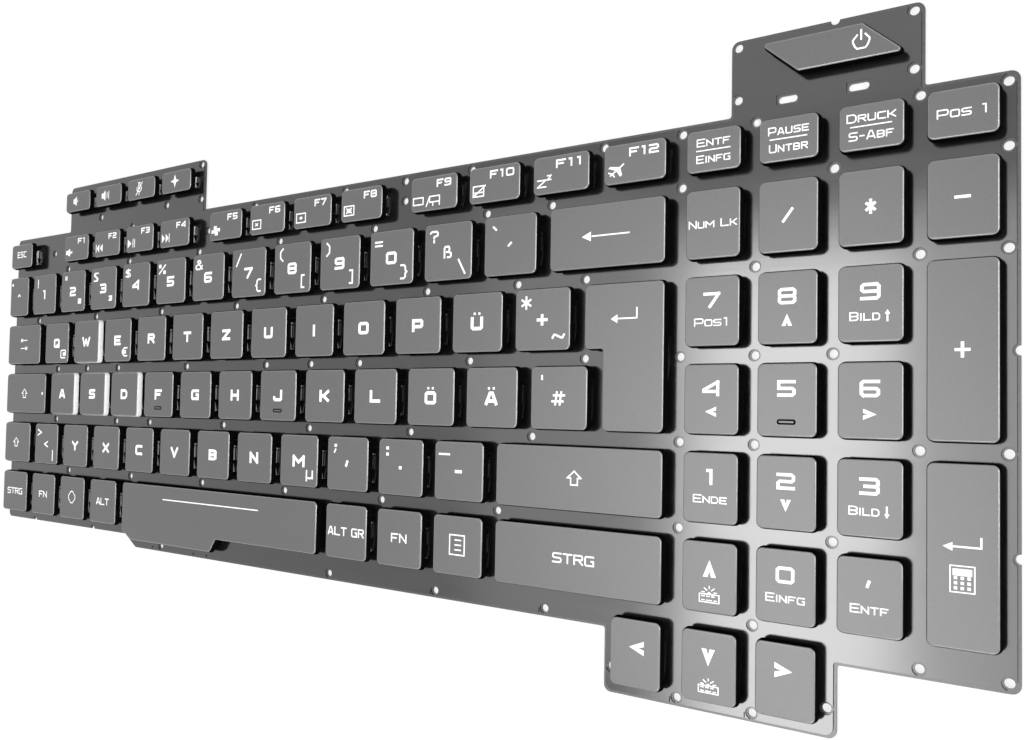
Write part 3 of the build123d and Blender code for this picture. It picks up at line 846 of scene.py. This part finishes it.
field_lines = [
    (5 * row_pitch, stations(number_start, 1, 3, 5, 7, 9, 11, 12) + [seam_x, pad_lines[2], rim_x]),
    (4 * row_pitch, stations(number_start, 0, 2, 4, 6, 8, 10) + stations(upper_start, 11, 12)),
    (4 * row_pitch, pad_lines[1::2] + [rim_x]),
    (3 * row_pitch, stations(home_start, 1, 2, 4, 6, 8, 10) + stations(upper_start, 12)),
    (3 * row_pitch, [seam_x] + pad_lines[1:3]),
    (2 * row_pitch, stations(home_start, 2, 3, 5, 9, 11) + [seam_x, *pad_lines[1::2], rim_x]),
    (row_pitch, stations(lower_start, 1, 3, 5, 7, 9, 11) + [seam_x, pad_lines[2]]),
    (0, [pad_lines[1]]),
    (group_gap_y, group_gap_posts),
    (rim_top, [function_starts[0] + 2 * key_pitch, function_starts[2] - function_group_gap / 2]),
    (rim_top, stations(function_starts[1], 1, 3) + stations(function_starts[2], 1, 3)),
    (rim_top, [seam_x, pad_lines[1], pad_lines[3], rim_x]),
    (rim_bottom, [space_left + key_pitch, *stations(bottom_start, 0, 2), last_rim_post]),
    (rim_bottom, [pad_lines[3], rim_x]),
    (tab_rows[0], [hot_tab_right - edge_hole_inset]),
    (tab_rows[1], [hot_tab_right - edge_hole_inset, *stations(function_starts[0], 1, 3)]),
    (arrow_rim, [seam_x, pad_lines[1]]),
    (arrow_side_y, [arrow_tab_right - edge_hole_inset, edge_hole_inset - arrow_tab_left]),
]
posts = mount_posts + [(x, y) for y, line in field_lines for x in line]
rim_notches = [(plate_right, 3 * row_pitch), (plate_right, row_pitch), (pad_lines[2], tab_top),
               (plate_left + key_pitch, -left_foot_margin), (plate_left + 3 * key_pitch, -left_foot_margin)]
window_middle = (power_tab_left + power_tab_right) / 2
slit_posts = [(x, rim_bottom) for x in (bottom_start + 2 * key_pitch, last_rim_post)]
slit_posts += [(x, arrow_rim) for x in (seam_x, pad_lines[1])]
film_notches = [space_left + step for step in film_notch_steps]
light_windows = [(window_middle + side * window_gap / 2, plate_top + window_lift) for side in (-1, 1)]


def sheet(name, outline, holes, bottom, top, finish):
    """A flat sheet between two heights, with holes that may also bite into its rim."""
    solid, cutter = Build(), Build()
    solid.prism(outline, bottom, top)
    for hole in holes:
        cutter.prism(hole, bottom - cutter_reach, top + cutter_reach)
    obj = solid.finish(name, [finish.material])
    tool = cutter.finish(name + "_cutter", [finish.material])
    cut = obj.modifiers.new("holes", "BOOLEAN")
    cut.operation = "DIFFERENCE"
    cut.solver = "EXACT"
    cut.object = tool
    graph = bpy.context.evaluated_depsgraph_get()
    mesh = bpy.data.meshes.new_from_object(obj.evaluated_get(graph))
    obj.modifiers.clear()
    obj.data = mesh
    bpy.data.objects.remove(tool)
    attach(obj, "base")
    return obj


def hook_stations():
    """Where each plate hook stands from the middle of its key, and how far its lip reaches from there."""
    rise = high_pivot_z - low_pivot_z
    reach = hook_metal / 2 + hook_clearance + link_thickness / 2
    slide = inner_span - sqrt(inner_span ** 2 - rise ** 2)
    outer_foot = sqrt(outer_span ** 2 - rise ** 2) / 2
    inner_foot = sqrt(inner_span ** 2 - rise ** 2) / 2
    return [(-outer_foot - reach, reach), (inner_foot + reach + slide, -reach - slide)]


def make_hooks():
    """The bent-up hooks that hold the low ends of the open keys' links."""
    build = Build()
    lip_z = low_pivot_z + link_thickness / 2 + hook_clearance
    root_z = plate_top_z - hook_root
    half = hook_width / 2
    for name in open_keys:
        x, y = middle(keys[name])
        for station, lip in hook_stations():
            side = 1 if lip > 0 else -1
            back, front = -side * hook_metal / 2, side * hook_metal / 2
            profile = [(back, root_z), (front, root_z), (front, lip_z), (lip, lip_z),
                       (lip, lip_z + hook_metal), (back, lip_z + hook_metal)]
            section = [(y + station + py, pz) for py, pz in profile[::side]]
            ends = [[(x + end * half, *point) for point in section] for end in (-1, 1)]
            build.loft(ends, [0], smooth=False, ends=(0, 0))
    obj = build.finish("plate_hooks", [plate_black.material])
    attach(obj, "base")
    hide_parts("support_plate")


def make_plate():
    outline = rounded(plate_corners(), outline_corner, inner_corner, plate_steps)
    holes = [circle(x, y, post_hole_radius) for x, y in posts + rim_notches]
    opening = (window_length - 2 * window_frame, window_width - 2 * window_frame)
    end_radius = opening[1] / 2 - window_end_gap
    holes += [rounded(box_outline(x, y, *opening), end_radius, 0, corner_steps) for x, y in light_windows]
    obj = sheet("plate_sheet", outline, holes, panel_top, plate_top_z, plate_black)
    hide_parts("support_plate")


def make_film():
    outline = rounded(grown(plate_corners(), -film_inset), outline_corner, inner_corner, plate_steps)
    holes = [circle(x, y, film_hole_radius) for x, y in posts + rim_notches]
    windows = [box_outline(x, y, window_length, window_width) for x, y in light_windows]
    holes += [rounded(window, window_corner, 0, window_steps) for window in windows]
    for name in open_keys:
        x, y = middle(keys[name])
        slot_size = (hook_width + 2 * hook_clearance, hook_metal + 2 * hook_clearance)
        holes += [box_outline(x, y + station, *slot_size) for station, lip in hook_stations()]
    holes += [box_outline(x - slit_offset, y - slit_size[1] / 2, *slit_size) for x, y in slit_posts]
    holes += [box_outline(x, plate_bottom + film_inset, *film_notch_size) for x in film_notches]
    obj = sheet("film_sheet", outline, holes, plate_top_z, film_top, film_grey)
    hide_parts("switch_film")


def panel_slot(x0, x1, y):
    width = x1 - x0 + panel_slot_width
    return rounded(box_outline((x0 + x1) / 2, y, width, panel_slot_width), panel_corner, 0, panel_steps)


def make_panel():
    """The light panel under the plate, cut away along the lines of post holes."""
    outline = rounded(grown(plate_corners(), -panel_inset), panel_corner, panel_corner, panel_steps)
    holes = [panel_slot(x, x, y) for x, y in light_windows]
    holes += [panel_slot(x, x, tab_rows[1]) for x in stations(function_starts[0], 1, 3)]
    holes += [panel_slot(x, x, group_gap_y) for x in group_gap_posts]
    for height in [row_pitch * n for n in range(6)]:
        line = sorted(x for x, y in posts if y == height and x < rim_x)
        halves = [[x for x in line if x < -main_width / 2], [x for x in line if x >= -main_width / 2]]
        holes += [panel_slot(half[0], half[-1], height) for half in halves if half]
    obj = sheet("panel_sheet", outline, holes, 0, panel_top, panel_white)
    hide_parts("backlight_panel")


make_hooks()
make_panel()
make_plate()
make_film()


# Rubber domes
def add_dome(build, corners, sides=16):
    x, y = middle(corners)
    rings = [[(px, py, z) for px, py in circle(x, y, radius, sides)] for radius, z in dome_profile]
    build.loft(rings, [0] * (len(rings) - 1), ends=(0, 0))


# Scissor links; the two shaped keys have theirs in the middle of the narrow part
scissor_shift = {"enter_key": (enter_step / 2, 0), "space_bar": (0, space_tongue_depth / 2)}


def link_sizes(corners):
    """Outer span, inner span and outer width of the links that fit under this cap."""
    ys = [p[1] for p in corners]
    xs = [p[0] for p in corners]
    depth = min(max(ys) - min(ys), row_pitch - cap_gap_y)
    outer = min(outer_span, depth - link_margin_y)
    width = min(wide_link, max(xs) - min(xs) - link_margin_x)
    return outer, outer * inner_span / outer_span, width


def add_link(build, x, y, span, width, towards):
    """A frame that rises from its low end towards +Y or -Y, with a pin along each end."""
    rise = high_pivot_z - low_pivot_z
    reach = sqrt(span * span - rise * rise)
    low = (y - towards * reach / 2, low_pivot_z)
    high = (y + towards * reach / 2, high_pivot_z)
    for side in (-1, 1):
        rail_x = x + side * (width - link_bar) / 2
        build.rail((rail_x, *low), (rail_x, *high), link_bar, link_thickness)
    for end in (low, high):
        build.rod((x - width / 2, *end), (x + width / 2, *end), pin_radius)


def add_scissor(build, corners, shift=(0, 0)):
    x, y = middle(corners)
    x += shift[0]
    y += shift[1]
    outer, inner, width = link_sizes(corners)
    add_link(build, x, y, outer, width, 1)
    add_link(build, x, y, inner, width - 2 * link_bar - 2 * link_gap, -1)
    low_pin = y + sqrt(inner ** 2 - (high_pivot_z - low_pivot_z) ** 2) / 2
    build.rod((x - width / 2, low_pin, low_pivot_z), (x + width / 2, low_pin, low_pivot_z), pin_radius)
    for side in (-1, 1):
        web_x = x + side * (width / 2 - web_width)
        web = box_outline(web_x, y + outer * web_shift_share, web_width, outer * web_length_share)
        build.prism(web, web_bottom, (low_pivot_z + high_pivot_z) / 2)


def make_open_links(name, corners):
    """The two links of an open-sided key, each on its own body."""
    x, y = middle(corners)
    widths = (outer_width, outer_width - 2 * link_bar - 2 * link_gap)
    for kind, span, width, towards in zip(("outer", "inner"), (outer_span, inner_span), widths, (1, -1)):
        build = Build()
        add_link(build, x, y, span, width, towards)
        node = name.replace("key", kind + "_link")
        obj = build.finish(node + "_frame", [link_plastic.material])
        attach(obj, node + "_body")
        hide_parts(node)


def press_flat(obj):
    """Gives a dome or scissor a mesh of its own."""
    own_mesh(obj)


def make_dome(name, corners):
    build = Build()
    add_dome(build, corners)
    dome = build.finish(name.replace("_key", "") + "_dome", [dome_rubber.material])
    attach(dome, "base")
    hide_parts("rubber_domes")
    press_flat(dome)


def make_scissor(name, corners):
    build = Build()
    add_scissor(build, corners, scissor_shift.get(name, (0, 0)))
    links = build.finish(name.replace("_key", "") + "_scissor", [link_plastic.material])
    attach(links, "base")
    press_flat(links)


def make_springs():
    """The domes and links under every key, with those of the fixed keys in two pieces."""
    fixed_domes, fixed_links = Build(), Build()
    for name, corners in keys.items():
        if group_of(name):
            add_dome(fixed_domes, corners)
            add_scissor(fixed_links, corners)
            continue
        make_dome(name, corners)
        if name in open_keys:
            make_open_links(name, corners)
        else:
            make_scissor(name, corners)
    fixed_pieces = [("fixed_domes", fixed_domes, dome_rubber, "dome"),
                    ("fixed_scissors", fixed_links, link_plastic, "link")]
    for name, build, finish, slot in fixed_pieces:
        obj = build.finish(name, [finish.material])
        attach(obj, "base")


make_springs()

# Camera at the photograph's angle; its sensor and lens are in millimetres
scene = bpy.context.scene
scene.view_settings.view_transform = "Standard"
camera_sensor = 36
camera_lens = 35.18
camera_shift = (0.07545, 0.00386)
camera_near = 0.01
camera_right = (0.781786, 0.0207255, -0.6232023)
camera_up = (0.0074866, 0.9990634, 0.0426171)
camera_back = (0.6235019, -0.0379831, 0.7808986)
camera_place = (0.201037, -0.00898, 0.204434)


def make_camera():
    data = bpy.data.cameras.new("camera")
    data.sensor_width = camera_sensor
    data.lens = camera_lens
    data.shift_x, data.shift_y = camera_shift
    data.clip_start = camera_near
    camera = bpy.data.objects.new("camera", data)
    scene.collection.objects.link(camera)
    columns = zip(camera_right, camera_up, camera_back, camera_place)
    camera.matrix_world = Matrix([*columns, (0, 0, 0, 1)])
    scene.camera = camera


make_camera()

# Studio light
fill_strength = 0.15
floor_glow = 0.8
floor_reach = 1
floor_z = -0.0002
# Each softbox with its place, what it points at, its size and its power in watts
softboxes = [
    ("softbox_top", (-0.11, -0.09, 0.7), (-0.11, -0.09, 0), (0.18, 0.46), 1.45),
    ("softbox_wide", (-0.09, -0.085, 0.75), (-0.09, -0.085, 0), (0.36, 0.54), 1.6),
    ("softbox_side", (-0.36, -0.02, 0.7), (-0.36, -0.02, 0), (0.2, 0.48), 0.3),
    ("softbox_right", (0.85, 0.1, 0.55), (0, 0, 0), (0.5, 0.5), 9),
    ("softbox_back", (-0.08, 0.37, 0.7), (-0.08, 0.37, 0), (0.3, 0.2), 0.1),
    ("softbox_front", (0.08, -0.5, 0.7), (0.08, -0.5, 0), (0.4, 0.3), 3.2),
    ("panel_left", (-1.3, 0, 0.9), (0, 0, 0), (1, 1), 0.4),
]


def add_math(tree, operation, first, second, third=0):
    """A math node whose inputs are sockets or plain numbers."""
    node = tree.nodes.new("ShaderNodeMath")
    node.operation = operation
    for socket, value in zip(node.inputs, (first, second, third)):
        if isinstance(value, (int, float)):
            socket.default_value = value
        else:
            tree.links.new(value, socket)
    return node.outputs["Value"]


def seen_rays(tree):
    """One for rays that show the background: from the camera, off gloss or through glass."""
    path = tree.nodes.new("ShaderNodeLightPath")
    direct = add_math(tree, "MAXIMUM", path.outputs["Is Camera Ray"], path.outputs["Is Glossy Ray"])
    return add_math(tree, "MAXIMUM", direct, path.outputs["Is Transmission Ray"])


def make_world():
    """White all round where it is seen, and a low fill light everywhere."""
    world = bpy.data.worlds.new("studio")
    scene.world = world
    world.use_nodes = True
    tree = world.node_tree
    background = tree.nodes["Background"]
    background.inputs["Color"].default_value = (1, 1, 1, 1)
    strength = add_math(tree, "MULTIPLY_ADD", seen_rays(tree), 1 - fill_strength, fill_strength)
    tree.links.new(strength, background.inputs["Strength"])


def softbox(name, spot, aim, size, power):
    light = bpy.data.lights.new(name, "AREA")
    light.shape = "RECTANGLE"
    light.size, light.size_y = size
    light.energy = power
    obj = bpy.data.objects.new(name, light)
    scene.collection.objects.link(obj)
    turn = (Vector(aim) - Vector(spot)).to_track_quat("-Z", "Y")
    obj.matrix_world = Matrix.Translation(spot) @ turn.to_matrix().to_4x4()


for values in softboxes:
    softbox(*values)


# Floor
def make_floor():
    mesh = bpy.data.meshes.new("floor")
    outline = box_outline(0, 0, 2 * floor_reach, 2 * floor_reach)
    corners = [(x, y, floor_z) for x, y in outline]
    mesh.from_pydata(corners, [], [(0, 1, 2, 3)])
    finish = Finish("floor_white", grey(0.88), grey(0.92), 0.8, scale=30)
    tree = finish.tree
    glow = tree.nodes.new("ShaderNodeEmission")
    mix = tree.nodes.new("ShaderNodeMixShader")
    tree.links.new(add_math(tree, "MULTIPLY", seen_rays(tree), floor_glow), mix.inputs["Fac"])
    tree.links.new(finish.shader.outputs["BSDF"], mix.inputs[1])
    tree.links.new(glow.outputs["Emission"], mix.inputs[2])
    tree.links.new(mix.outputs["Shader"], tree.nodes["Material Output"].inputs["Surface"])
    mesh.materials.append(finish.material)
    floor = bpy.data.objects.new("floor", mesh)
    scene.collection.objects.link(floor)


make_world()
make_floor()
